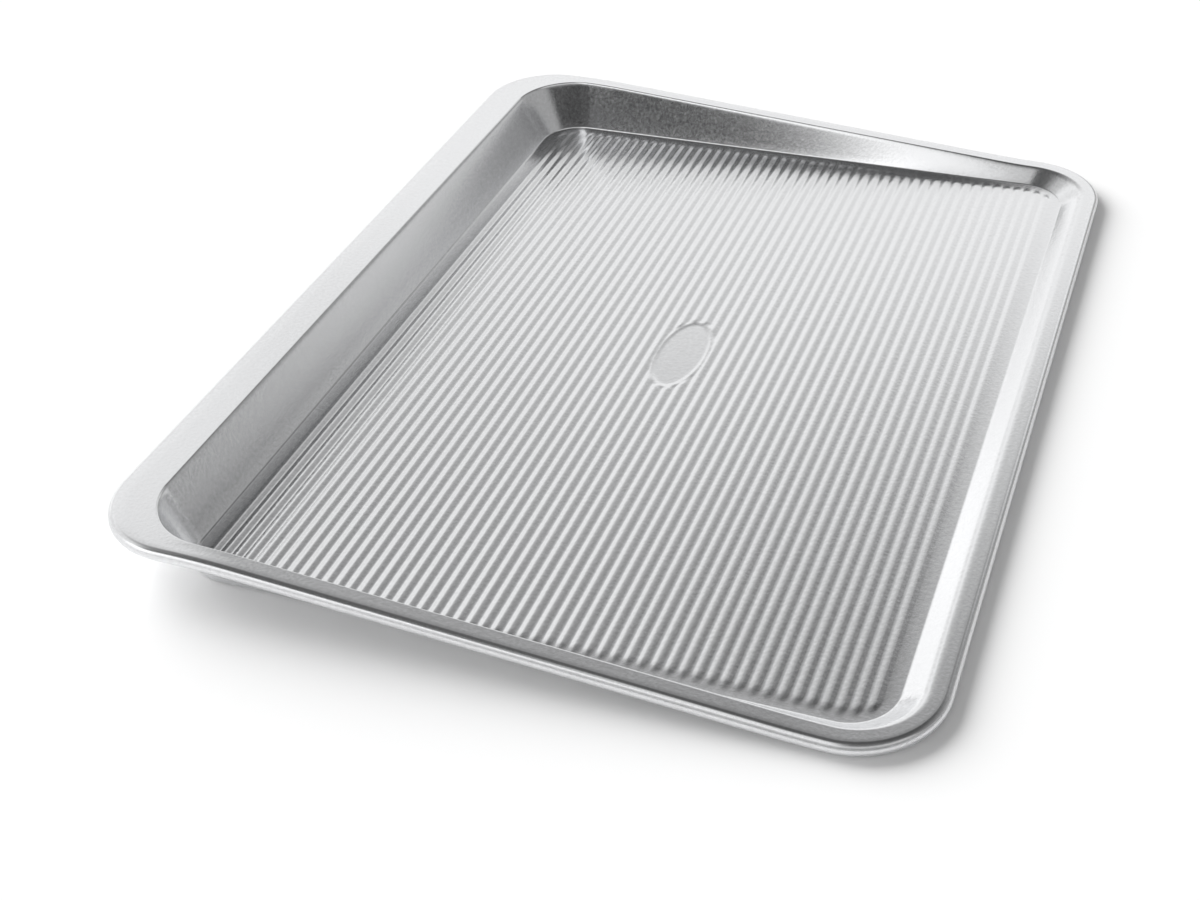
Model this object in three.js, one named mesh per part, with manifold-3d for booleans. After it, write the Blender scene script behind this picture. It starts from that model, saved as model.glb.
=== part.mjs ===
// A corrugated cookie sheet: one pressed steel sheet whose edge is rolled round a stiffening wire.
// Its tall side has a wide flange to grip, and its low side lets food slide off.
// Millimetres. X runs from the grip side to the slide side, Y along the ridges, Z up from the table.
// The origin is on the table, under the middle of the rim.
import * as THREE from "three";
import { mergeVertices } from "three/addons/utils/BufferGeometryUtils.js";
import Module from "manifold-3d";

// Size over the rim
const panWidth = 350;
const panDepth = 460;
const gripRimHeight = 26.4; // table to rim top along the grip side
const slideRimGap = 1.3; // table to the underside of the rolled edge along the slide side
const gripLevelRun = 58; // from the grip edge to the place where the rim starts to fall
const slideLevelRun = 44; // from the slide edge to the place where the rim stops falling
const rimEase = 14; // half length of the curve at each of those places
const rimCorner = 38; // outer corner radius of the rim, seen from above

// Sheet, and the wire that its edge is rolled round
const sheet = 0.8;
const wireDiameter = 4;
const wireClearance = 0.3;
const wireEndGap = 1; // between the wire's two butted ends
const curlSweep = 288; // degrees that the edge turns round the wire

// Flange: from the rim's outer edge to the top of the wall
const gripFlange = 21;
const slideFlange = 9.3;
const gripEndFlange = 10; // front and back, beside the grip side
const slideEndFlange = 9.3; // front and back, beside the slide side

// Walls: how far in the floor ends, and how the wall turns its corners
const gripLean = 12.2;
const slideLean = 9.6;
const sideFootInset = 17.7; // from the front or back edge of the rim to the wall's foot
const slideWallCorner = 29; // corner radius at the top of the wall
const gripWallCorner = 32;
const gripCrease = 6; // degrees of the sharp turn where the grip wall meets its corners
const floorCorner = 21;
const floorBend = 1.5; // inside radius between floor and wall
const flangeBend = 2.2; // inside radius, under the sheet, between wall and flange

// Floor ridges, pressed up from below
const ridgePitch = 5.51;
const ridgeHeight = 0.45;
const ridgeFoot = 5;
const ridgeCrest = 1;
const ridgeSideMargin = 8.5; // from the foot of the grip or slide wall to the middle of the outermost ridge
const ridgeEndMargin = 3; // from the foot of the front or back wall to a ridge's end
const ridgeEndRun = 4; // length over which a ridge's end comes down
const ridgeFieldCorner = 22; // the ridges' ends step back along this radius at the corners

// Plain oval left without ridges in the middle of the floor
const ovalWidth = 24;
const ovalLength = 57;

// Fineness of the curves
const cornerSteps = 9;
const bendSteps = 3;
const curlSteps = 16;
const wireSides = 8;
const ovalSides = 32;
const cutOverlap = 0.3; // how far a solid reaches past the face that it joins or cuts

const rollRadius = wireDiameter / 2 + wireClearance + sheet;
const slideRimHeight = slideRimGap + 2 * rollRadius;
const halfWidth = panWidth / 2;
const halfDepth = panDepth / 2;
const gripWallTop = -halfWidth + gripFlange;
const slideWallTop = halfWidth - slideFlange;
const gripFoot = gripWallTop + gripLean;
const slideFoot = slideWallTop - slideLean;
const sideFoot = halfDepth - sideFootInset;
const fallStart = -halfWidth + gripLevelRun;
const fallEnd = halfWidth - slideLevelRun;
const floorMiddle = (gripFoot + slideFoot) / 2;

const radians = THREE.MathUtils.degToRad;
const lerp = THREE.MathUtils.lerp;

// Height of the rim's top over the table: level, then an even fall, then level again.
function rimHeight(x) {
  const fall = (gripRimHeight - slideRimHeight) / (fallEnd - fallStart);
  return gripRimHeight - fall * (easedRun(x - fallStart) - easedRun(x - fallEnd));
}

// Zero before the place, the distance past it after, with a curve between the two.
function easedRun(past) {
  if (Math.abs(past) < rimEase) return (past + rimEase) ** 2 / (4 * rimEase);
  return Math.max(past, 0);
}

// A point on the arc of the corner at those sides. It turns from the X axis to the Y axis.
function onCorner(sideX, sideY, centreX, centreY, radius, turn) {
  return new THREE.Vector2(
    centreX + sideX * radius * Math.cos(turn),
    centreY + sideY * radius * Math.sin(turn),
  );
}

// One place on the way round the pan: the wall's foot and top, the rim's edge and the way outwards.
function cornerStation(sideX, sideY, turn) {
  const onGripSide = sideX < 0;
  const wallCorner = onGripSide ? gripWallCorner : slideWallCorner;
  const crease = onGripSide ? radians(gripCrease) : 0;
  const wallTurn = lerp(crease, Math.PI / 2, turn / (Math.PI / 2));
  const wallTopX = onGripSide ? gripWallTop : slideWallTop;
  const wallTopY = halfDepth - (onGripSide ? gripEndFlange : slideEndFlange);
  const footX = onGripSide ? gripFoot : slideFoot;
  const wallCentreX = wallTopX - sideX * wallCorner * Math.cos(crease);
  const wallCentreY = sideY * (wallTopY - wallCorner);
  const footCentreX = footX - sideX * floorCorner;
  const footCentreY = sideY * (sideFoot - floorCorner);
  const edgeCentreX = sideX * (halfWidth - rimCorner);
  const edgeCentreY = sideY * (halfDepth - rimCorner);
  return {
    foot: onCorner(sideX, sideY, footCentreX, footCentreY, floorCorner, turn),
    top: onCorner(sideX, sideY, wallCentreX, wallCentreY, wallCorner, wallTurn),
    edge: onCorner(sideX, sideY, edgeCentreX, edgeCentreY, rimCorner, turn),
    out: onCorner(sideX, sideY, 0, 0, 1, turn),
  };
}

// The places round one corner, anticlockwise from above.
function cornerStations(sideX, sideY) {
  const startsAtSide = sideX * sideY > 0;
  const stations = [];
  for (let step = 0; step <= cornerSteps; step++) {
    const share = step / cornerSteps;
    const turn = (startsAtSide ? share : 1 - share) * (Math.PI / 2);
    stations.push(cornerStation(sideX, sideY, turn));
  }
  return stations;
}

// Places along the front or back, from one corner's last place to the next corner's first.
// They gather where the rim's height curves.
function sideStations(from, to) {
  const ease = [-1, -0.5, 0, 0.5, 1].map((share) => share * rimEase);
  const curved = [...ease.map((shift) => fallStart + shift), 0, ...ease.map((shift) => fallEnd + shift)];
  const shares = curved.map((x) => (x - from.edge.x) / (to.edge.x - from.edge.x));
  return shares
    .filter((share) => share > 0.01 && share < 0.99)
    .sort((a, b) => a - b)
    .map((share) => ({
      foot: from.foot.clone().lerp(to.foot, share),
      top: from.top.clone().lerp(to.top, share),
      edge: from.edge.clone().lerp(to.edge, share),
      out: from.out,
    }));
}

// All places, anticlockwise from above, starting at the middle of the back.
function panStations() {
  const backGrip = cornerStations(-1, 1);
  const frontGrip = cornerStations(-1, -1);
  const frontSlide = cornerStations(1, -1);
  const backSlide = cornerStations(1, 1);
  const back = sideStations(backSlide.at(-1), backGrip[0]);
  const middle = back.findIndex((station) => station.edge.x <= 0);
  return [
    ...back.slice(middle),
    ...backGrip,
    ...frontGrip,
    ...sideStations(frontGrip.at(-1), frontSlide[0]),
    ...frontSlide,
    ...backSlide,
    ...back.slice(0, middle),
  ];
}

// Centre of the rolled edge at a place.
function rollCentre(station) {
  const middle = station.edge.clone().addScaledVector(station.out, -rollRadius);
  return new THREE.Vector3(middle.x, middle.y, rimHeight(middle.x) - rollRadius);
}

// Section through floor edge, wall, flange and rolled edge: the sheet's upper face and the face under it.
function sheetSection(station) {
  const lean = station.top.distanceTo(station.foot);
  const outwards = station.top.clone().sub(station.foot).divideScalar(lean);
  const flangeTop = rimHeight(station.top.x);
  const slope = Math.atan2(flangeTop - sheet, lean);
  const setBack = Math.tan(slope / 2);
  const bendTop = flangeBend + sheet;
  const at = (along, height) => {
    const plan = station.foot.clone().addScaledVector(outwards, along);
    return new THREE.Vector3(plan.x, plan.y, height);
  };
  const upper = [];
  const under = [];
  for (let step = 0; step <= bendSteps; step++) {
    const turn = (slope * step) / bendSteps;
    const bend = (radius) =>
      at(radius * Math.sin(turn) - floorBend * setBack, sheet + floorBend - radius * Math.cos(turn));
    upper.push(bend(floorBend));
    under.push(bend(floorBend + sheet));
  }
  for (let step = bendSteps; step >= 0; step--) {
    const turn = (slope * step) / bendSteps;
    const bend = (radius) =>
      at(lean + bendTop * setBack - radius * Math.sin(turn), flangeTop - bendTop + radius * Math.cos(turn));
    upper.push(bend(bendTop));
    under.push(bend(flangeBend));
  }
  const centre = rollCentre(station);
  const out = new THREE.Vector3(station.out.x, station.out.y, 0);
  const up = new THREE.Vector3(0, 0, 1);
  for (let step = 0; step <= curlSteps; step++) {
    const turn = radians((curlSweep * step) / curlSteps);
    const away = out.clone().multiplyScalar(Math.sin(turn)).addScaledVector(up, Math.cos(turn));
    upper.push(centre.clone().addScaledVector(away, rollRadius));
    under.push(centre.clone().addScaledVector(away, rollRadius - sheet));
  }
  return { upper, under };
}

// A closed geometry from points and triangles.
function solidGeometry(points, triangles) {
  const places = points.flatMap((point) => point.toArray());
  const geometry = new THREE.BufferGeometry();
  geometry.setAttribute("position", new THREE.Float32BufferAttribute(places, 3));
  geometry.setIndex(triangles.flat());
  return geometry;
}

// The pressed sheet with its floor still flat.
function flatFloorSheet(stations) {
  const sections = stations.map(sheetSection);
  const rows = sections[0].upper.length;
  const lip = rows - 1;
  const count = sections.length;
  const points = sections.flatMap((section) => [...section.upper, ...section.under]);
  const upperAt = (place, row) => (place % count) * 2 * rows + row;
  const underAt = (place, row) => upperAt(place, row) + rows;
  const triangles = [];
  const addQuad = (a, b, c, d) => triangles.push([a, b, c], [a, c, d]);
  for (let place = 0; place < count; place++) {
    const next = place + 1;
    for (let row = 0; row < lip; row++) {
      addQuad(upperAt(place, row), upperAt(place, row + 1), upperAt(next, row + 1), upperAt(next, row));
      addQuad(underAt(place, row), underAt(next, row), underAt(next, row + 1), underAt(place, row + 1));
    }
    addQuad(upperAt(next, lip), upperAt(place, lip), underAt(place, lip), underAt(next, lip));
  }
  const floorEdge = sections.map((section) => new THREE.Vector2(section.upper[0].x, section.upper[0].y));
  for (const [a, b, c] of THREE.ShapeUtils.triangulateShape(floorEdge, [])) {
    triangles.push([upperAt(a, 0), upperAt(b, 0), upperAt(c, 0)]);
    triangles.push([underAt(a, 0), underAt(c, 0), underAt(b, 0)]);
  }
  return solidGeometry(points, triangles);
}

// A low ridge that stands on the height given, with all four sides sloped.
function ridgeGeometry(middleX, halfLength, standsOn) {
  const signs = [[-1, -1], [1, -1], [1, 1], [-1, 1]];
  const ring = (halfAcross, halfAlong, height) =>
    signs.map(([x, y]) => new THREE.Vector3(middleX + x * halfAcross, y * halfAlong, height));
  const points = [
    ...ring(ridgeFoot / 2, halfLength, standsOn - cutOverlap),
    ...ring(ridgeFoot / 2, halfLength, standsOn),
    ...ring(ridgeCrest / 2, halfLength - ridgeEndRun, standsOn + ridgeHeight),
  ];
  const corners = signs.length;
  const last = points.length - corners;
  const triangles = [[0, 2, 1], [0, 3, 2], [last, last + 1, last + 2], [last, last + 2, last + 3]];
  for (let base = 0; base < last; base += corners) {
    for (let corner = 0; corner < corners; corner++) {
      const next = (corner + 1) % corners;
      const [a, b] = [base + corner, base + next];
      triangles.push([a, b, b + corners], [a, b + corners, a + corners]);
    }
  }
  return solidGeometry(points, triangles);
}

// Every ridge's middle and half length.
function ridgeRows() {
  const reach = (slideFoot - gripFoot) / 2;
  const steps = Math.round((2 * (reach - ridgeSideMargin)) / ridgePitch);
  const rows = [];
  for (let step = 0; step <= steps; step++) {
    const fromMiddle = (step - steps / 2) * ridgePitch;
    const intoCorner = Math.max(Math.abs(fromMiddle) - (reach - ridgeFieldCorner), 0);
    const stepBack = ridgeFieldCorner - Math.sqrt(ridgeFieldCorner ** 2 - intoCorner ** 2);
    rows.push({ x: floorMiddle + fromMiddle, halfLength: sideFoot - ridgeEndMargin - stepBack });
  }
  return rows;
}

// The plain oval as a tall block, grown by a margin.
function ovalGeometry(margin) {
  const height = 4 * (sheet + ridgeHeight);
  const oval = new THREE.CylinderGeometry(1, 1, height, ovalSides);
  oval.rotateX(Math.PI / 2);
  oval.scale(ovalWidth / 2 + margin, ovalLength / 2 + margin, 1);
  oval.translate(floorMiddle, 0, 0);
  oval.deleteAttribute("normal");
  oval.deleteAttribute("uv");
  return mergeVertices(oval, 1e-3);
}

const wasm = await Module();
wasm.setup();

function toSolid(geometry) {
  return new wasm.Manifold(
    new wasm.Mesh({
      numProp: 3,
      vertProperties: geometry.getAttribute("position").array,
      triVerts: Uint32Array.from(geometry.index.array),
    }),
  );
}

function fromSolid(solid) {
  const mesh = solid.getMesh();
  const geometry = new THREE.BufferGeometry();
  geometry.setAttribute("position", new THREE.Float32BufferAttribute(mesh.vertProperties, mesh.numProp));
  geometry.setIndex(Array.from(mesh.triVerts));
  return geometry;
}

// All ridges as one solid, standing on a height and stopping at the oval.
function ridgeField(standsOn, ovalMargin) {
  const ridges = ridgeRows().map(({ x, halfLength }) => toSolid(ridgeGeometry(x, halfLength, standsOn)));
  return ridges.reduce((all, ridge) => all.add(ridge)).subtract(toSolid(ovalGeometry(ovalMargin)));
}

// The sheet with its ridges, raised above and hollow below.
function panSheetGeometry(stations) {
  const raised = ridgeField(sheet, 0);
  const hollows = ridgeField(0, sheet);
  return fromSolid(toSolid(flatFloorSheet(stations)).add(raised).subtract(hollows));
}

// The wire inside the rolled edge. Its ends meet at the middle of the back.
function rimWireGeometry(stations) {
  const loop = [...stations, stations[0]];
  const path = loop.map((station) => ({ middle: rollCentre(station), out: station.out }));
  const pullBack = (end, inner) => {
    const share = wireEndGap / 2 / end.middle.distanceTo(inner.middle);
    end.middle.lerp(inner.middle, share);
  };
  pullBack(path[0], path[1]);
  pullBack(path.at(-1), path.at(-2));
  const points = path.flatMap(({ middle, out }) =>
    Array.from({ length: wireSides }, (_, side) => {
      const turn = (side / wireSides) * 2 * Math.PI;
      const across = (wireDiameter / 2) * Math.cos(turn);
      const upwards = (wireDiameter / 2) * Math.sin(turn);
      return middle.clone().add(new THREE.Vector3(out.x * across, out.y * across, upwards));
    }),
  );
  const triangles = [];
  for (let place = 0; place + 1 < path.length; place++) {
    for (let side = 0; side < wireSides; side++) {
      const a = place * wireSides + side;
      const b = place * wireSides + ((side + 1) % wireSides);
      triangles.push([a, a + wireSides, b + wireSides], [a, b + wireSides, b]);
    }
  }
  const last = points.length - wireSides;
  for (let side = 1; side + 1 < wireSides; side++) {
    triangles.push([0, side, side + 1], [last, last + side + 1, last + side]);
  }
  return solidGeometry(points, triangles);
}

function namedMesh(name, geometry, material) {
  const mesh = new THREE.Mesh(geometry, material);
  mesh.name = name;
  return mesh;
}

const aluminisedSteel = new THREE.MeshStandardMaterial({ color: 0xcfcfcd, metalness: 1, roughness: 0.38 });
const bareWire = new THREE.MeshStandardMaterial({ color: 0x8f9092, metalness: 1, roughness: 0.45 });

const stations = panStations();
const cookieSheet = new THREE.Group();
cookieSheet.add(namedMesh("pan_sheet", panSheetGeometry(stations), aluminisedSteel));
cookieSheet.add(namedMesh("rim_wire", rimWireGeometry(stations), bareWire));

export default cookieSheet;
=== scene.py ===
import math
import bpy
import bmesh
from mathutils import Matrix, Vector


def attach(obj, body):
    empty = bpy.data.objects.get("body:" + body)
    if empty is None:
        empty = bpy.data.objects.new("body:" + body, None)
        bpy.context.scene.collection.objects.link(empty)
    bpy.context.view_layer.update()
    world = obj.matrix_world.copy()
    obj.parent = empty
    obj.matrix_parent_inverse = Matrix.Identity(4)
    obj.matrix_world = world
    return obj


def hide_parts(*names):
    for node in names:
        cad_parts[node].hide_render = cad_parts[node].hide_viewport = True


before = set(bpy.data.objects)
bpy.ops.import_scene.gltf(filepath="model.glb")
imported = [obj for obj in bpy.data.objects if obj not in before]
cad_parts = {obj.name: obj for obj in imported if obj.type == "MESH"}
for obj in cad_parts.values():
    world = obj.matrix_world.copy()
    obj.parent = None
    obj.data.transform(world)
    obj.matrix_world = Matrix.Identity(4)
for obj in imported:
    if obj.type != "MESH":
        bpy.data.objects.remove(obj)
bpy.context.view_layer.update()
mm = 0.001  # the sizes below are in millimetres
sameLevel = 1e-6  # metres, heights closer than this are one
weldReach = 1e-7  # metres, points closer than this are joined
up = Vector((0, 0, 1))

panSize = {
    "halfWidth": 175.0, "halfDepth": 230.0,  # over the rolled rim
    "gripRim": 26.4, "slideRim": 7.5,  # rim top over the table
    "fallStart": -117.0, "fallEnd": 131.0, "fallEase": 14.0,  # where the rim falls, along x
    "rimCorner": 38.0, "rollRadius": 3.1, "curlDegrees": 288.0, "sheet": 0.8,
    "scuffStart": 32.0, "scuffRun": 26.0,  # degrees round the roll, where its outer face gets scuffed
    "gripWallTop": -154.0, "slideWallTop": 165.7,
    "gripEndWallTop": 220.0, "slideEndWallTop": 220.7,  # front and back walls, at their two ends
    "gripFoot": -141.8, "slideFoot": 156.1, "sideFoot": 212.3,
    "gripWallCorner": 32.0, "gripCrease": 6.0, "slideWallCorner": 29.0, "floorCorner": 21.0,
    "floorBend": 1.5,  # radius
    "browDown": 2.4, "browOut": 0.6, "slideBrowOut": 2.4,  # bend's reach on the wall and the flange
    "bendEdge": 0.4,  # narrow row that keeps the flange flat up to its bend
    "cornerSteps": 20, "sideSteps": 56, "endSteps": 16,
    "bendSteps": 8, "wallSteps": 4, "flangeSteps": 3, "curlSteps": 26,
}

ridgeSize = {
    "count": 52, "pitch": 5.51, "height": 0.45, "crest": 0.6,
    "endMargin": 3.5, "endRun": 5.0, "fieldCorner": 22.0,
    "wholeStep": 5.0,  # last stretch of a ridge, which steps back in full at the corners
    "samples": 8,  # columns in each ridge's pitch
    "middleSpacing": 1.2, "endSpacing": 1.4,  # of the close rows beside the oval and at the ends
    "longRows": 9,  # rows between them
    "fineRuns": 1.5,  # the close rows at the ends reach in by this many end runs
}

ovalSize = {
    "halfWidth": 12.0, "halfLength": 28.5, "clear": 1.3,
    "ring": 0.28, "ringWidth": 0.9, "ringInset": 0.2,  # raised line just inside the outline
    "flatShare": 0.2,  # this share of it, from its middle, is quite flat
    "pastTip": 3.0,  # the close rows go on this far beyond its tips
}


def rimHeight(x):
    p = panSize

    def eased(past):
        if abs(past) < p["fallEase"]:
            return (past + p["fallEase"]) ** 2 / (4 * p["fallEase"])
        return max(past, 0.0)

    fall = (p["gripRim"] - p["slideRim"]) / (p["fallEnd"] - p["fallStart"])
    return p["gripRim"] - fall * (eased(x - p["fallStart"]) - eased(x - p["fallEnd"]))


def onCorner(sideX, sideY, cx, cy, radius, turn):
    return Vector((cx + sideX * radius * math.cos(turn), cy + sideY * radius * math.sin(turn)))


def cornerPlace(sideX, sideY, turn):  # foot and top of the wall, edge of the rim, way out
    p = panSize
    grip = sideX < 0
    crease = math.radians(p["gripCrease"]) if grip else 0.0
    wallCorner = p["gripWallCorner"] if grip else p["slideWallCorner"]
    wallTurn = crease + (math.pi / 2 - crease) * turn / (math.pi / 2)
    wallX = (p["gripWallTop"] if grip else p["slideWallTop"]) - sideX * wallCorner * math.cos(crease)
    wallY = sideY * ((p["gripEndWallTop"] if grip else p["slideEndWallTop"]) - wallCorner)
    footX = (p["gripFoot"] if grip else p["slideFoot"]) - sideX * p["floorCorner"]
    footY = sideY * (p["sideFoot"] - p["floorCorner"])
    edgeX = sideX * (p["halfWidth"] - p["rimCorner"])
    edgeY = sideY * (p["halfDepth"] - p["rimCorner"])
    return {
        "foot": onCorner(sideX, sideY, footX, footY, p["floorCorner"], turn),
        "top": onCorner(sideX, sideY, wallX, wallY, wallCorner, wallTurn),
        "edge": onCorner(sideX, sideY, edgeX, edgeY, p["rimCorner"], turn),
        "out": onCorner(sideX, sideY, 0, 0, 1, turn),
        "crease": grip and turn == 0.0,
    }


def cornerPlaces(sideX, sideY):
    steps = panSize["cornerSteps"]
    turns = [math.pi / 2 * step / steps for step in range(steps + 1)]
    if sideX * sideY < 0:
        turns.reverse()
    return [cornerPlace(sideX, sideY, turn) for turn in turns]


def placesBetween(a, b, steps):
    between = []
    for step in range(1, steps):
        share = step / steps
        place = {key: a[key].lerp(b[key], share) for key in ("foot", "top", "edge", "out")}
        place["crease"] = False
        between.append(place)
    return between


def panPlaces():  # all the way round, anticlockwise from above, from the back corner of the grip side
    p = panSize
    corners = [cornerPlaces(-1, 1), cornerPlaces(-1, -1), cornerPlaces(1, -1), cornerPlaces(1, 1)]
    steps = [p["endSteps"], p["sideSteps"], p["endSteps"], p["sideSteps"]]
    places = []
    for index, corner in enumerate(corners):
        following = corners[(index + 1) % len(corners)]
        places += corner + placesBetween(corner[-1], following[0], steps[index])
    return places


def rollCentre(place):
    middle = place["edge"] - place["out"] * panSize["rollRadius"]
    return Vector((middle.x, middle.y, rimHeight(middle.x) - panSize["rollRadius"]))


def sheetSection(place):  # the upper face, from the floor's edge to the end of the roll
    p = panSize
    lean = (place["top"] - place["foot"]).length
    outwards = (place["top"] - place["foot"]) / lean
    flangeTop = rimHeight(place["top"].x)
    slope = math.atan2(flangeTop - p["sheet"], lean)
    setBack = math.tan(slope / 2)

    def at(along, height):
        plan = place["foot"] + outwards * along
        return Vector((plan.x, plan.y, height))

    section = []
    for step in range(p["bendSteps"] + 1):
        turn = slope * step / p["bendSteps"]
        section.append(at(p["floorBend"] * (math.sin(turn) - setBack),
                          p["sheet"] + p["floorBend"] * (1 - math.cos(turn))))
    towardsSlide = max(place["out"].x, 0.0) ** 2
    across = p["browOut"] + (p["slideBrowOut"] - p["browOut"]) * towardsSlide
    brow = at(lean, flangeTop)  # where wall and flange would meet with no bend
    foot = section[-1]
    head = brow + (at(0, p["sheet"]) - brow).normalized() * p["browDown"]
    tail = at(lean + across, flangeTop)
    flangeBend = []
    for step in range(p["bendSteps"] + 1):
        share = step / p["bendSteps"]
        flangeBend.append(head.lerp(brow, share).lerp(brow.lerp(tail, share), share))
    section += [foot.lerp(head, step / p["wallSteps"]) for step in range(1, p["wallSteps"])]
    section += flangeBend
    centre = rollCentre(place)
    out = Vector((place["out"].x, place["out"].y, 0))
    curl = []
    for step in range(p["curlSteps"] + 1):
        turn = math.radians(p["curlDegrees"] * step / p["curlSteps"])
        curl.append(centre + p["rollRadius"] * (out * math.sin(turn) + up * math.cos(turn)))
    bend, start = section[-1], curl[0]
    edge = bend + (start - bend).normalized() * p["bendEdge"]
    section += [edge.lerp(start, step / p["flangeSteps"]) for step in range(p["flangeSteps"])]
    return section + curl


def gridIndex(vert, columns, rows):  # which column and row of a fresh unit grid a vertex is in
    return round((vert.co.x + 1) / 2 * columns), round((vert.co.y + 1) / 2 * rows)


def smoothStep(value):
    value = min(max(value, 0.0), 1.0)
    return value * value * (3 - 2 * value)


def addWallBand(bm, places):
    p = panSize
    sections = [sheetSection(place) for place in places]
    columns, rows = len(places), len(sections[0]) - 1
    creaseEnd = p["bendSteps"] * 2 + p["wallSteps"]
    roll, scuff = (bm.verts.layers.float.new(name) for name in ("roll", "scuff"))
    band = bmesh.ops.create_grid(bm, x_segments=columns, y_segments=rows, size=1)["verts"]
    creased = set()
    for vert in band:
        column, row = gridIndex(vert, columns, rows)
        vert.co = sections[column % columns][row] * mm
        curlShare = (row - rows) / p["curlSteps"] + 1
        vert[roll] = 1.0 if curlShare >= 0 else 0.0
        vert[scuff] = smoothStep((curlShare * p["curlDegrees"] - p["scuffStart"]) / p["scuffRun"])
        if places[column % columns]["crease"] and 0 < row < creaseEnd:
            creased.add(vert)
    for vert in creased:
        for edge in vert.link_edges:
            other = edge.other_vert(vert)
            if other in creased and abs(other.co.z - vert.co.z) > sameLevel:
                edge.smooth = False
    bmesh.ops.remove_doubles(bm, verts=band, dist=weldReach)


def ridgeHeight(fromMiddle, y, fromEnd):
    r, o = ridgeSize, ovalSize
    turns = fromMiddle / r["pitch"] - r["count"] / 2
    across = abs(turns - math.floor(turns) - 0.5)  # from the nearest crest, in pitches
    crest = r["crest"] / r["pitch"] / 2
    height = r["height"] * min((0.5 - across) / (0.5 - crest), 1.0)
    height *= smoothStep((fromEnd - across * across * r["pitch"]) / r["endRun"])
    reach = math.hypot(fromMiddle / o["halfWidth"], y / o["halfLength"])
    if reach <= o["flatShare"]:
        return 0.0
    steep = math.hypot(fromMiddle / o["halfWidth"] ** 2, y / o["halfLength"] ** 2) / reach
    outside = (reach - 1) / steep  # distance out of the oval
    height *= smoothStep(outside / o["clear"])
    ring = o["ring"] * math.exp(-((outside + o["ringInset"]) / o["ringWidth"]) ** 2)
    return max(height, ring)


def ridgeRows(halfLength):  # places of the rows from the middle of the floor to the end of a full ridge
    r, o = ridgeSize, ovalSize
    middle = o["halfLength"] + o["pastTip"]
    ends = halfLength - r["endRun"] * r["fineRuns"]
    steps = round(middle / r["middleSpacing"])
    rows = [middle * step / steps for step in range(steps)]
    rows += [middle + (ends - middle) * step / r["longRows"] for step in range(r["longRows"])]
    steps = round((halfLength - ends) / r["endSpacing"])
    return rows + [ends + (halfLength - ends) * step / steps for step in range(steps + 1)]


def addRidgedFloor(bm):
    p, r = panSize, ridgeSize
    middleX = (p["gripFoot"] + p["slideFoot"]) / 2
    reach = (p["slideFoot"] - p["gripFoot"]) / 2
    halfField = r["count"] * r["pitch"] / 2
    fullLength = p["sideFoot"] - r["endMargin"]
    half = ridgeRows(fullLength)
    rowPlaces = [-y for y in reversed(half[1:])] + half
    middleReach = ovalSize["halfLength"] + ovalSize["pastTip"]
    shiftRun = fullLength - r["wholeStep"] - middleReach
    columns, rows = r["count"] * r["samples"], len(rowPlaces) - 1
    field = bmesh.ops.create_grid(bm, x_segments=columns, y_segments=rows, size=1)["verts"]
    for vert in field:
        column, row = gridIndex(vert, columns, rows)
        fromMiddle = (column / columns * 2 - 1) * halfField
        into = max(abs(fromMiddle) - (reach - r["fieldCorner"]), 0.0)
        stepBack = r["fieldCorner"] - math.sqrt(r["fieldCorner"] ** 2 - into ** 2)
        y = rowPlaces[row]
        if abs(y) > middleReach:  # the ends step back round the corners
            y -= math.copysign(stepBack * min((abs(y) - middleReach) / shiftRun, 1.0), y)
        fromEnd = fullLength - stepBack - abs(y)
        height = p["sheet"] + ridgeHeight(fromMiddle, y, fromEnd)
        vert.co = Vector((middleX + fromMiddle, y, height)) * mm


def finishMesh(bm, name, material):
    mesh = bpy.data.meshes.new(name)
    for face in bm.faces:
        face.smooth = True
    bm.to_mesh(mesh)
    bm.free()
    piece = bpy.data.objects.new(name, mesh)
    bpy.context.collection.objects.link(piece)
    mesh.materials.append(material)
    return piece


def makePan(material):
    bm = bmesh.new()
    addWallBand(bm, panPlaces())
    addRidgedFloor(bm)
    level = panSize["sheet"] * mm
    edges = [edge for edge in bm.edges
             if edge.is_boundary and all(abs(vert.co.z - level) < sameLevel for vert in edge.verts)]
    bmesh.ops.triangle_fill(bm, use_beauty=True, edges=edges, normal=up)  # flat margin round the ridges
    bmesh.ops.recalc_face_normals(bm, faces=bm.faces)
    floorFace = min(bm.faces, key=lambda face: face.calc_center_median().length)
    if floorFace.normal.z < 0:
        bmesh.ops.reverse_faces(bm, faces=bm.faces)
    pan = finishMesh(bm, "pan", material)
    thickness = pan.modifiers.new("sheet", "SOLIDIFY")
    thickness.thickness = panSize["sheet"] * mm
    thickness.offset = -1
    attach(pan, "root")
    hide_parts("pan_sheet")
    return pan


wireSize = {"radius": 2.0, "endGap": 1.0, "sides": 14, "sharpFrom": 60.0}  # sharpFrom in degrees


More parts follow.
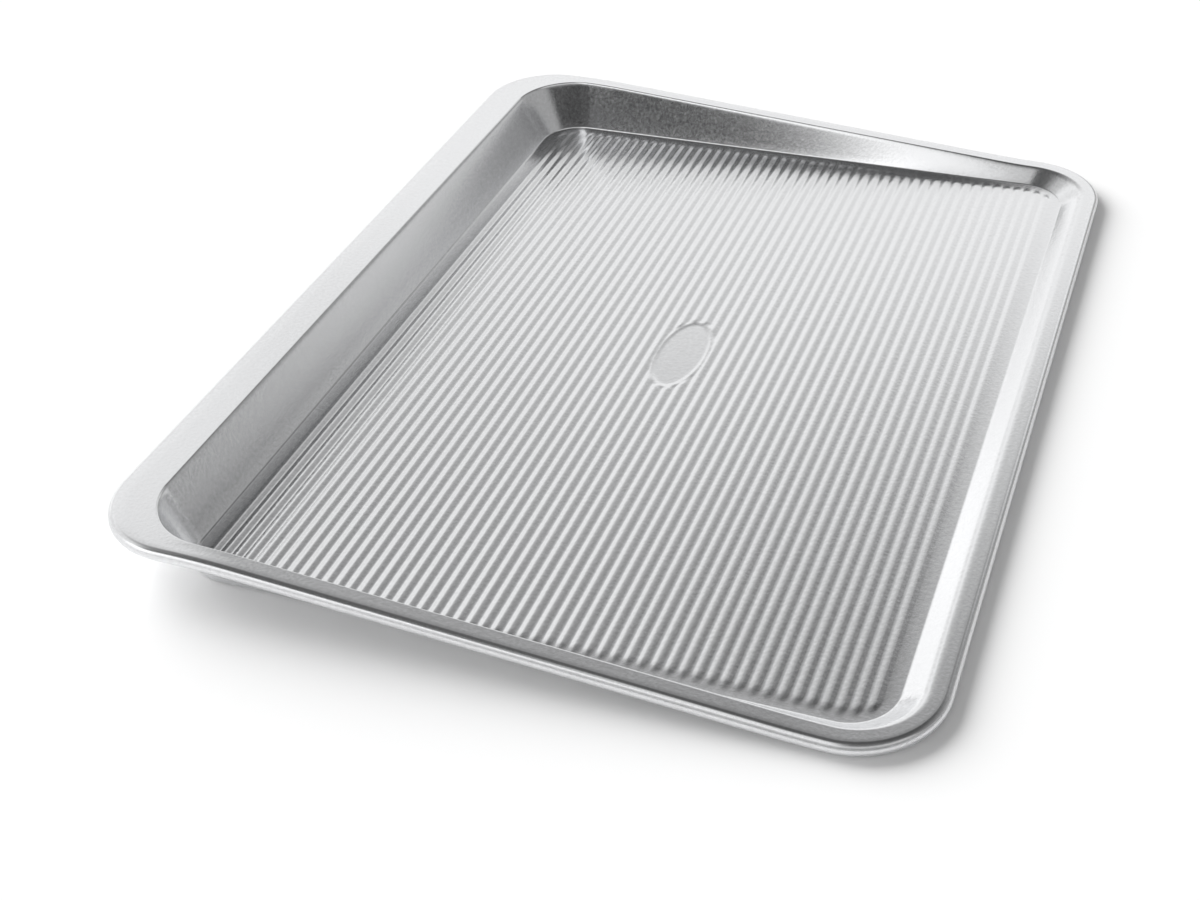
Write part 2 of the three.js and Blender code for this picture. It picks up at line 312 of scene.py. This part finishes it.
def makeWire(material):
    w = wireSize
    places = panPlaces()
    joint = Vector((0, panSize["halfDepth"]))
    start = min(range(len(places)), key=lambda index: (places[index]["edge"] - joint).length)
    loop = places[start:] + places[:start + 1]
    centres = [rollCentre(place) for place in loop]
    for end, inner in ((0, 1), (-1, -2)):  # the ends butt at the middle of the back
        away = (centres[inner] - centres[end]).normalized()
        centres[end] = centres[end] + away * (w["endGap"] / 2)
    bm = bmesh.new()
    columns = len(loop) - 1
    tube = bmesh.ops.create_grid(bm, x_segments=columns, y_segments=w["sides"], size=1)["verts"]
    for vert in tube:
        column, row = gridIndex(vert, columns, w["sides"])
        turn = 2 * math.pi * (row % w["sides"]) / w["sides"]
        out = Vector((loop[column]["out"].x, loop[column]["out"].y, 0))
        vert.co = (centres[column] + w["radius"] * (out * math.cos(turn) + up * math.sin(turn))) * mm
    bmesh.ops.remove_doubles(bm, verts=tube, dist=weldReach)
    bmesh.ops.holes_fill(bm, edges=[e for e in bm.edges if e.is_boundary])
    bmesh.ops.recalc_face_normals(bm, faces=bm.faces)
    wire = finishMesh(bm, "rimWire", material)
    wire.data.set_sharp_from_angle(angle=math.radians(w["sharpFrom"]))
    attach(wire, "root")
    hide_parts("rim_wire")
    return wire


steelLook = {
    "colour": (0.815, 0.82, 0.83), "fleck": 0.05,
    "roughness": 0.195, "roughVary": 0.04, "scuffRough": 0.2,
    "grain": 650.0, "grainDetail": 3.0, "grainRough": 0.6, "grainDepth": 0.00004,
    "grainLow": 0.3, "grainHigh": 0.7,  # stretch of the noise that is used
}
wireLook = {"colour": 0.52, "dark": 0.85, "light": 1.1, "roughness": 0.45, "drawn": 700.0}


def newMaterial(name):
    material = bpy.data.materials.new(name)
    material.use_nodes = True
    nodes = material.node_tree.nodes
    return material, nodes, material.node_tree.links, nodes["Principled BSDF"]


def addMath(nodes, links, operation, first, second=None):
    node = nodes.new("ShaderNodeMath")
    node.operation = operation
    links.new(first, node.inputs[0])
    if isinstance(second, float):
        node.inputs[1].default_value = second
    elif second:
        links.new(second, node.inputs[1])
    return node.outputs[0]


def addLayer(nodes, name):  # a value that the mesh carries at its points
    layer = nodes.new("ShaderNodeAttribute")
    layer.attribute_name = name
    return layer.outputs["Fac"]


def aluminisedSteel():
    k = steelLook
    material, nodes, links, shader = newMaterial("aluminisedSteel")
    place = nodes.new("ShaderNodeTexCoord")
    grain = nodes.new("ShaderNodeTexNoise")
    grain.inputs["Scale"].default_value = k["grain"]
    grain.inputs["Detail"].default_value = k["grainDetail"]
    grain.inputs["Roughness"].default_value = k["grainRough"]
    links.new(place.outputs["Object"], grain.inputs["Vector"])
    rough = nodes.new("ShaderNodeMapRange")
    rough.inputs["From Min"].default_value = k["grainLow"]
    rough.inputs["From Max"].default_value = k["grainHigh"]
    rough.inputs["To Min"].default_value = -k["roughVary"]
    rough.inputs["To Max"].default_value = k["roughVary"]
    links.new(grain.outputs["Fac"], rough.inputs["Value"])
    roll = addLayer(nodes, "roll")  # the rolled edge has no grain
    scuff = addLayer(nodes, "scuff")  # its outer face is scuffed by use
    lessRoll = addMath(nodes, links, "MULTIPLY", roll, -1.0)
    grained = addMath(nodes, links, "ADD", lessRoll, 1.0)
    vary = addMath(nodes, links, "MULTIPLY", rough.outputs["Result"], grained)
    worn = addMath(nodes, links, "MULTIPLY", scuff, k["scuffRough"])
    base = addMath(nodes, links, "ADD", worn, k["roughness"])
    links.new(addMath(nodes, links, "ADD", base, vary), shader.inputs["Roughness"])
    bump = nodes.new("ShaderNodeBump")
    links.new(grained, bump.inputs["Strength"])
    bump.inputs["Distance"].default_value = k["grainDepth"]
    links.new(grain.outputs["Fac"], bump.inputs["Height"])
    links.new(bump.outputs["Normal"], shader.inputs["Normal"])
    fleck = nodes.new("ShaderNodeValToRGB")
    marks = fleck.color_ramp.elements
    stops = ((k["grainLow"], 1 - k["fleck"]), (k["grainHigh"], 1 + k["fleck"]))
    for mark, (position, share) in zip(marks, stops):
        mark.position = position
        mark.color = [value * share for value in k["colour"]] + [1]
    links.new(grain.outputs["Fac"], fleck.inputs["Fac"])
    links.new(fleck.outputs["Color"], shader.inputs["Base Color"])
    shader.inputs["Metallic"].default_value = 1.0
    return material


def bareWire():
    k = wireLook
    material, nodes, links, shader = newMaterial("bareWire")
    place = nodes.new("ShaderNodeTexCoord")
    drawn = nodes.new("ShaderNodeTexNoise")
    drawn.inputs["Scale"].default_value = k["drawn"]
    links.new(place.outputs["Object"], drawn.inputs["Vector"])
    tone = nodes.new("ShaderNodeMapRange")
    tone.inputs["To Min"].default_value = k["colour"] * k["dark"]
    tone.inputs["To Max"].default_value = k["colour"] * k["light"]
    links.new(drawn.outputs["Fac"], tone.inputs["Value"])
    links.new(tone.outputs["Result"], shader.inputs["Base Color"])
    shader.inputs["Roughness"].default_value = k["roughness"]
    shader.inputs["Metallic"].default_value = 1.0
    return material


pan = makePan(aluminisedSteel())
print("pan sheet made:", len(pan.data.polygons), "faces")
wire = makeWire(bareWire())
print("rim wire made:", len(wire.data.polygons), "faces")

studio = {
    "tableTone": 0.9, "tableGlow": 0.04, "tableSize": 10.0,
    "left": [(0, 0.9), (40, 0.85), (47, 0.8), (53, 0.45), (60, 0.12), (90, 0.08)],  # degrees up, light
    "backLeft": [(0, 0.9), (5, 1.36), (11, 1.2), (17, 0.95), (23, 0.87), (29, 0.97), (34, 1.08),
                 (38, 0.94), (42, 0.66), (46, 0.48), (52, 0.28), (60, 0.12), (90, 0.1)],
    "backMiddle": [(0, 0.95), (6, 1.2), (13, 1.0), (20, 0.94), (24, 1.05), (28, 1.12), (31, 0.94),
                   (34, 0.77), (37, 0.6), (40, 0.55), (44, 0.43), (48, 0.33), (54, 0.2), (62, 0.1),
                   (90, 0.1)],
    "backRight": [(0, 0.35), (10, 0.3), (17, 0.75), (23, 1.12), (28, 1.13), (32, 0.84), (36, 0.48),
                  (40, 0.3), (44, 0.19), (48, 0.12), (56, 0.07), (90, 0.1)],
    "farRight": [(0, 0.78), (5, 0.64), (12, 0.36), (30, 0.3), (45, 0.18), (60, 0.08), (90, 0.1)],
    "side": [(0, 0.25), (10, 0.4), (20, 0.42), (35, 0.25), (60, 0.1), (90, 0.1)],
    "frontFarLeft": [(0, 0.4), (8, 0.7), (16, 1.7), (34, 1.9), (41, 0.5), (47, 0.12), (60, 0.08),
                     (90, 0.1)],
    "frontLeft": [(0, 0.03), (10, 0.05), (18, 0.1), (23, 0.22), (28, 0.5), (34, 0.95), (38, 1.6),
                  (43, 1.9), (47, 1.2), (51, 0.3), (57, 0.1), (90, 0.1)],
    "frontMiddle": [(0, 0.04), (14, 0.1), (24, 0.3), (30, 0.55), (36, 0.85), (43, 1.15), (52, 1.35),
                    (60, 1.28), (68, 1.08), (76, 0.65), (83, 0.2), (90, 0.12)],
    "frontRight": [(0, 0.03), (14, 0.06), (20, 0.15), (28, 0.35), (36, 0.7), (46, 0.7), (54, 0.35),
                   (62, 0.18), (82, 0.12), (90, 0.1)],
    "leftToMiddle": (-39, -30), "middleToRight": (-8, 10),  # degrees round from the back, to the right
    "rightToFar": (18, 32), "farToSide": (40, 54),
    "frontToLeft": (-118, -102), "leftToBack": (-78, -62),
    "frontSteps": [(-0.41, -0.36), (-0.19, -0.13), (-0.05, 0.05), (0.84, 0.95)],  # by x, from the left
    "frontToBack": (-0.12, 0.12),  # by y
    "sunPower": 4.1, "sunSpread": 50.0, "sunFrom": (-0.95, 0.32, 0.55),  # spread in degrees
}
zenith = 90  # degrees over the horizon


def addBank(nodes, links, elevation, stops):  # light by degrees over the horizon
    ramp = nodes.new("ShaderNodeValToRGB")
    marks = ramp.color_ramp.elements
    while len(marks) > 1:
        marks.remove(marks[-1])
    for index, (degrees, light) in enumerate(stops):
        position = degrees / zenith
        mark = marks[0] if index == 0 else marks.new(position)
        mark.position = position
        mark.color = (light, light, light, 1)
    links.new(elevation, ramp.inputs["Fac"])
    return ramp.outputs["Color"]


def addBlend(nodes, links, along, limits, first, second):
    share = nodes.new("ShaderNodeMapRange")
    share.interpolation_type = "SMOOTHSTEP"
    share.inputs["From Min"].default_value, share.inputs["From Max"].default_value = limits
    links.new(along, share.inputs["Value"])
    blend = nodes.new("ShaderNodeMix")
    blend.data_type = "FLOAT"
    links.new(share.outputs["Result"], blend.inputs["Factor"])
    links.new(first, blend.inputs["A"])
    links.new(second, blend.inputs["B"])
    return blend.outputs["Result"]


def makeSky():
    world = bpy.data.worlds.new("studioSky")
    bpy.context.scene.world = world
    world.use_nodes = True
    nodes, links = world.node_tree.nodes, world.node_tree.links
    nodes.clear()
    place = nodes.new("ShaderNodeTexCoord")
    parts = nodes.new("ShaderNodeSeparateXYZ")
    links.new(place.outputs["Generated"], parts.inputs["Vector"])
    height = addMath(nodes, links, "ARCSINE", parts.outputs["Z"])
    elevation = addMath(nodes, links, "DIVIDE", height, math.radians(zenith))
    turn = addMath(nodes, links, "ARCTAN2", parts.outputs["X"], parts.outputs["Y"])
    azimuth = addMath(nodes, links, "MULTIPLY", turn, 180 / math.pi)
    bank = {name: addBank(nodes, links, elevation, studio[name])
            for name in ("left", "backLeft", "backMiddle", "backRight", "farRight", "side",
                         "frontFarLeft", "frontLeft", "frontMiddle", "frontRight")}
    back = addBlend(nodes, links, azimuth, studio["leftToMiddle"], bank["backLeft"], bank["backMiddle"])
    back = addBlend(nodes, links, azimuth, studio["middleToRight"], back, bank["backRight"])
    back = addBlend(nodes, links, azimuth, studio["rightToFar"], back, bank["farRight"])
    back = addBlend(nodes, links, azimuth, studio["farToSide"], back, bank["side"])
    front = bank["frontFarLeft"]
    for limits, name in zip(studio["frontSteps"], ("frontLeft", "frontMiddle", "frontRight", "side")):
        front = addBlend(nodes, links, parts.outputs["X"], limits, front, bank[name])
    light = addBlend(nodes, links, parts.outputs["Y"], studio["frontToBack"], front, back)
    left = addBlend(nodes, links, azimuth, studio["frontToLeft"], light, bank["left"])
    light = addBlend(nodes, links, azimuth, studio["leftToBack"], left, light)
    sky = nodes.new("ShaderNodeBackground")
    links.new(light, sky.inputs["Color"])
    output = nodes.new("ShaderNodeOutputWorld")
    links.new(sky.outputs["Background"], output.inputs["Surface"])


def makeTable():
    bm = bmesh.new()
    bmesh.ops.create_grid(bm, x_segments=1, y_segments=1, size=studio["tableSize"] / 2)
    material, nodes, links, shader = newMaterial("paleTable")
    tone = studio["tableTone"]
    shader.inputs["Base Color"].default_value = (tone, tone, tone, 1)
    shader.inputs["Roughness"].default_value = 1.0
    shader.inputs["Specular IOR Level"].default_value = 0.0
    path = nodes.new("ShaderNodeLightPath")  # the glow shows, also in the metal, but lights nothing
    seen = addMath(nodes, links, "ADD", path.outputs["Is Camera Ray"], path.outputs["Is Glossy Ray"])
    seen = addMath(nodes, links, "ADD", seen, path.outputs["Is Transmission Ray"])
    glow = addMath(nodes, links, "MULTIPLY", seen, studio["tableGlow"])
    shader.inputs["Emission Color"].default_value = (1, 1, 1, 1)
    links.new(glow, shader.inputs["Emission Strength"])
    finishMesh(bm, "table", material)


def makeSun():
    lamp = bpy.data.lights.new("softSun", "SUN")
    lamp.energy = studio["sunPower"]
    lamp.angle = math.radians(studio["sunSpread"])
    holder = bpy.data.objects.new("softSun", lamp)
    bpy.context.collection.objects.link(holder)
    holder.location = studio["sunFrom"]
    holder.rotation_euler = Vector(studio["sunFrom"]).to_track_quat("Z", "Y").to_euler()
    holder.visible_glossy = False


cameraView = {
    "azimuth": 22.52, "elevation": 36.75, "roll": -3.25, "distance": 0.7585,
    "target": (-0.00372, -0.08223, 0.0), "focalPixels": 1707.47, "imageWidth": 1200,
    "sensorWidth": 36.0, "nearest": 0.01,
}


def makeCamera():
    k = cameraView
    azimuth, elevation, roll = (math.radians(k[name]) for name in ("azimuth", "elevation", "roll"))
    back = Vector((math.sin(azimuth) * math.cos(elevation), -math.cos(azimuth) * math.cos(elevation),
                   math.sin(elevation)))
    right = up.cross(back).normalized()
    above = back.cross(right)
    across = right * math.cos(roll) + above * math.sin(roll)
    upright = above * math.cos(roll) - right * math.sin(roll)
    data = bpy.data.cameras.new("camera")
    data.sensor_width = k["sensorWidth"]
    data.sensor_fit = "HORIZONTAL"
    data.lens = k["focalPixels"] * data.sensor_width / k["imageWidth"]
    data.clip_start = k["nearest"]
    camera = bpy.data.objects.new("camera", data)
    bpy.context.collection.objects.link(camera)
    turned = Matrix((across, upright, back)).transposed().to_4x4()
    camera.matrix_world = Matrix.Translation(Vector(k["target"]) + back * k["distance"]) @ turned
    bpy.context.scene.camera = camera


makeSky()
makeTable()
makeSun()
makeCamera()
bpy.context.scene.view_settings.view_transform = "Standard"
print("studio ready")
